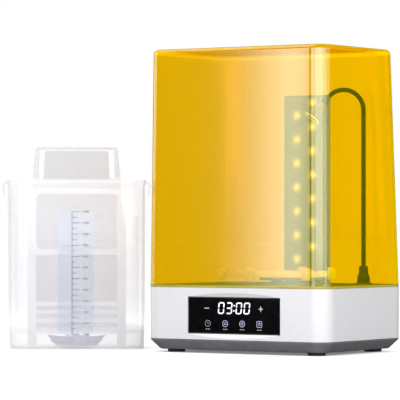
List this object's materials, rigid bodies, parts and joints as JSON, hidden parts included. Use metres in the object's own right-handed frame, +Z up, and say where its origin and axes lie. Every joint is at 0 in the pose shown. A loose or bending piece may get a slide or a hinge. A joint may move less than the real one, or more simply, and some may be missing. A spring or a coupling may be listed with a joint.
{
  "type": "resin wash and cure station",
  "caption": "Benchtop wash and cure station for resin prints: base with touch panel, turntable and lamps under an amber hood, with a translucent wash bucket and lift-out basket.",
  "frame": {"origin": "on the floor, at the middle of the box round the whole set", "axes": "+Z up; the machine's front faces -Y and its touch panel is on that side; the wash bucket stands at -X, turned about 36 degrees"},
  "size_m": [0.7846, 0.3722, 0.588],
  "materials": {
    "white_shell": "satin moulded shell",
    "dark_skirt": "matt",
    "black_rubber": "matt",
    "black_glass": "gloss touch panel",
    "amber_acrylic": "clear gloss amber, blocks ultraviolet light",
    "grey_plastic": "satin",
    "black_plastic": "satin",
    "clear_plastic": "clear gloss",
    "frosted_plastic": "frosted translucent",
    "navy_plastic": "semi-gloss",
    "steel": "brushed",
    "nickel": "plated magnet",
    "zinc": "zinc plated",
    "circuit_board": "solder mask",
    "led": "glowing lamps"
  },
  "bodies": {
    "base": {"base_housing": "white_shell", "bottom_tray": "dark_skirt", "foot_front_left": "black_rubber", "foot_front_right": "black_rubber", "foot_rear_left": "black_rubber", "foot_rear_right": "black_rubber", "control_panel": "black_glass", "display_board": "circuit_board", "main_board": "circuit_board", "motor_body": "steel", "motor_bracket": "zinc", "drive_seat": "grey_plastic", "dc_inlet": "black_plastic", "switch_frame": "black_plastic", "fan_frame": "black_plastic", "tower_housing": "grey_plastic", "tower_cover": "clear_plastic", "led_board_left": "led", "led_board_right": "led", "tower_cap": "grey_plastic", "tower_foot": "zinc", "lamp_socket": "black_plastic", "hood_sensor": "black_plastic", "tray_screw_front_left": "zinc", "tray_screw_front_right": "zinc", "tray_screw_rear_left": "zinc", "tray_screw_rear_right": "zinc"},
    "hood": {"hood_shell": "amber_acrylic", "hood_magnet": "nickel"},
    "turntable": {"turntable_plate": "clear_plastic", "turntable_rim": "clear_plastic", "turntable_hub": "grey_plastic", "turntable_magnet_left": "nickel", "turntable_magnet_right": "nickel"},
    "drive_rotor": {"drive_shaft": "steel", "magnet_carrier": "black_plastic", "drive_magnet_left": "nickel", "drive_magnet_right": "nickel"},
    "fan": {"fan_rotor": "black_plastic"},
    "rocker": {"power_rocker": "black_plastic"},
    "lamp_stem": {"gooseneck_boot": "black_rubber", "gooseneck_stem": "black_rubber"},
    "lamp_arch": {"gooseneck_arch": "black_rubber"},
    "lamp_head": {"lamp_ferrule": "black_rubber", "lamp_shade": "clear_plastic", "lamp_led": "led", "lamp_lens": "clear_plastic"},
    "bucket": {"bucket_tub": "frosted_plastic", "impeller_post": "steel"},
    "impeller": {"impeller": "navy_plastic", "impeller_magnet": "nickel"},
    "basket": {"basket_body": "frosted_plastic", "basket_floor": "frosted_plastic", "basket_front_frame": "frosted_plastic", "basket_rear_panel": "frosted_plastic"}
  },
  "joints": [
    {"name": "hood_lift", "type": "slide", "parent": "base", "child": "hood", "axis": [0, 0, 1], "range_m": [0, 0.42]},
    {"name": "turntable_spin", "type": "hinge", "parent": "base", "child": "turntable", "pos_m": [0.19275, 0.03214, 0.15], "axis": [0, 0, 1], "continuous": true},
    {"name": "drive_spin", "type": "hinge", "parent": "base", "child": "drive_rotor", "pos_m": [0.19275, 0.03214, 0.11], "axis": [0, 0, 1], "continuous": true},
    {"name": "fan_spin", "type": "hinge", "parent": "base", "child": "fan", "pos_m": [0.27675, 0.17534, 0.072], "axis": [0, 1, 0], "continuous": true},
    {"name": "power_switch", "type": "hinge", "parent": "base", "child": "rocker", "pos_m": [0.03675, 0.18064, 0.06], "axis": [1, 0, 0], "range_deg": [0, 16]},
    {"name": "lamp_swivel", "type": "hinge", "parent": "base", "child": "lamp_stem", "pos_m": [0.31475, 0.15814, 0.15], "axis": [0, 0, 1], "range_deg": [-24, 55]},
    {"name": "gooseneck_bend", "type": "hinge", "parent": "lamp_stem", "child": "lamp_arch", "pos_m": [0.31475, 0.15814, 0.464], "axis": [0.7193, -0.6947, 0], "range_deg": [-20, 20]},
    {"name": "lamp_tilt", "type": "hinge", "parent": "lamp_arch", "child": "lamp_head", "pos_m": [0.26537, 0.10701, 0.49717], "axis": [0.7193, -0.6947, 0], "range_deg": [-25, 25]},
    {"name": "bucket_lift", "type": "slide", "parent": "base", "child": "bucket", "axis": [0, 0, 1], "range_m": [0, 0.25]},
    {"name": "impeller_spin", "type": "hinge", "parent": "bucket", "child": "impeller", "pos_m": [-0.23625, -0.03986, 0.015], "axis": [0, 0, 1], "continuous": true},
    {"name": "basket_lift", "type": "slide", "parent": "bucket", "child": "basket", "axis": [0, 0, 1], "range_m": [0, 0.36]}
  ],
  "couplings": [
    {"joint": "drive_spin", "follows": "turntable_spin", "ratio": 1}
  ]
}
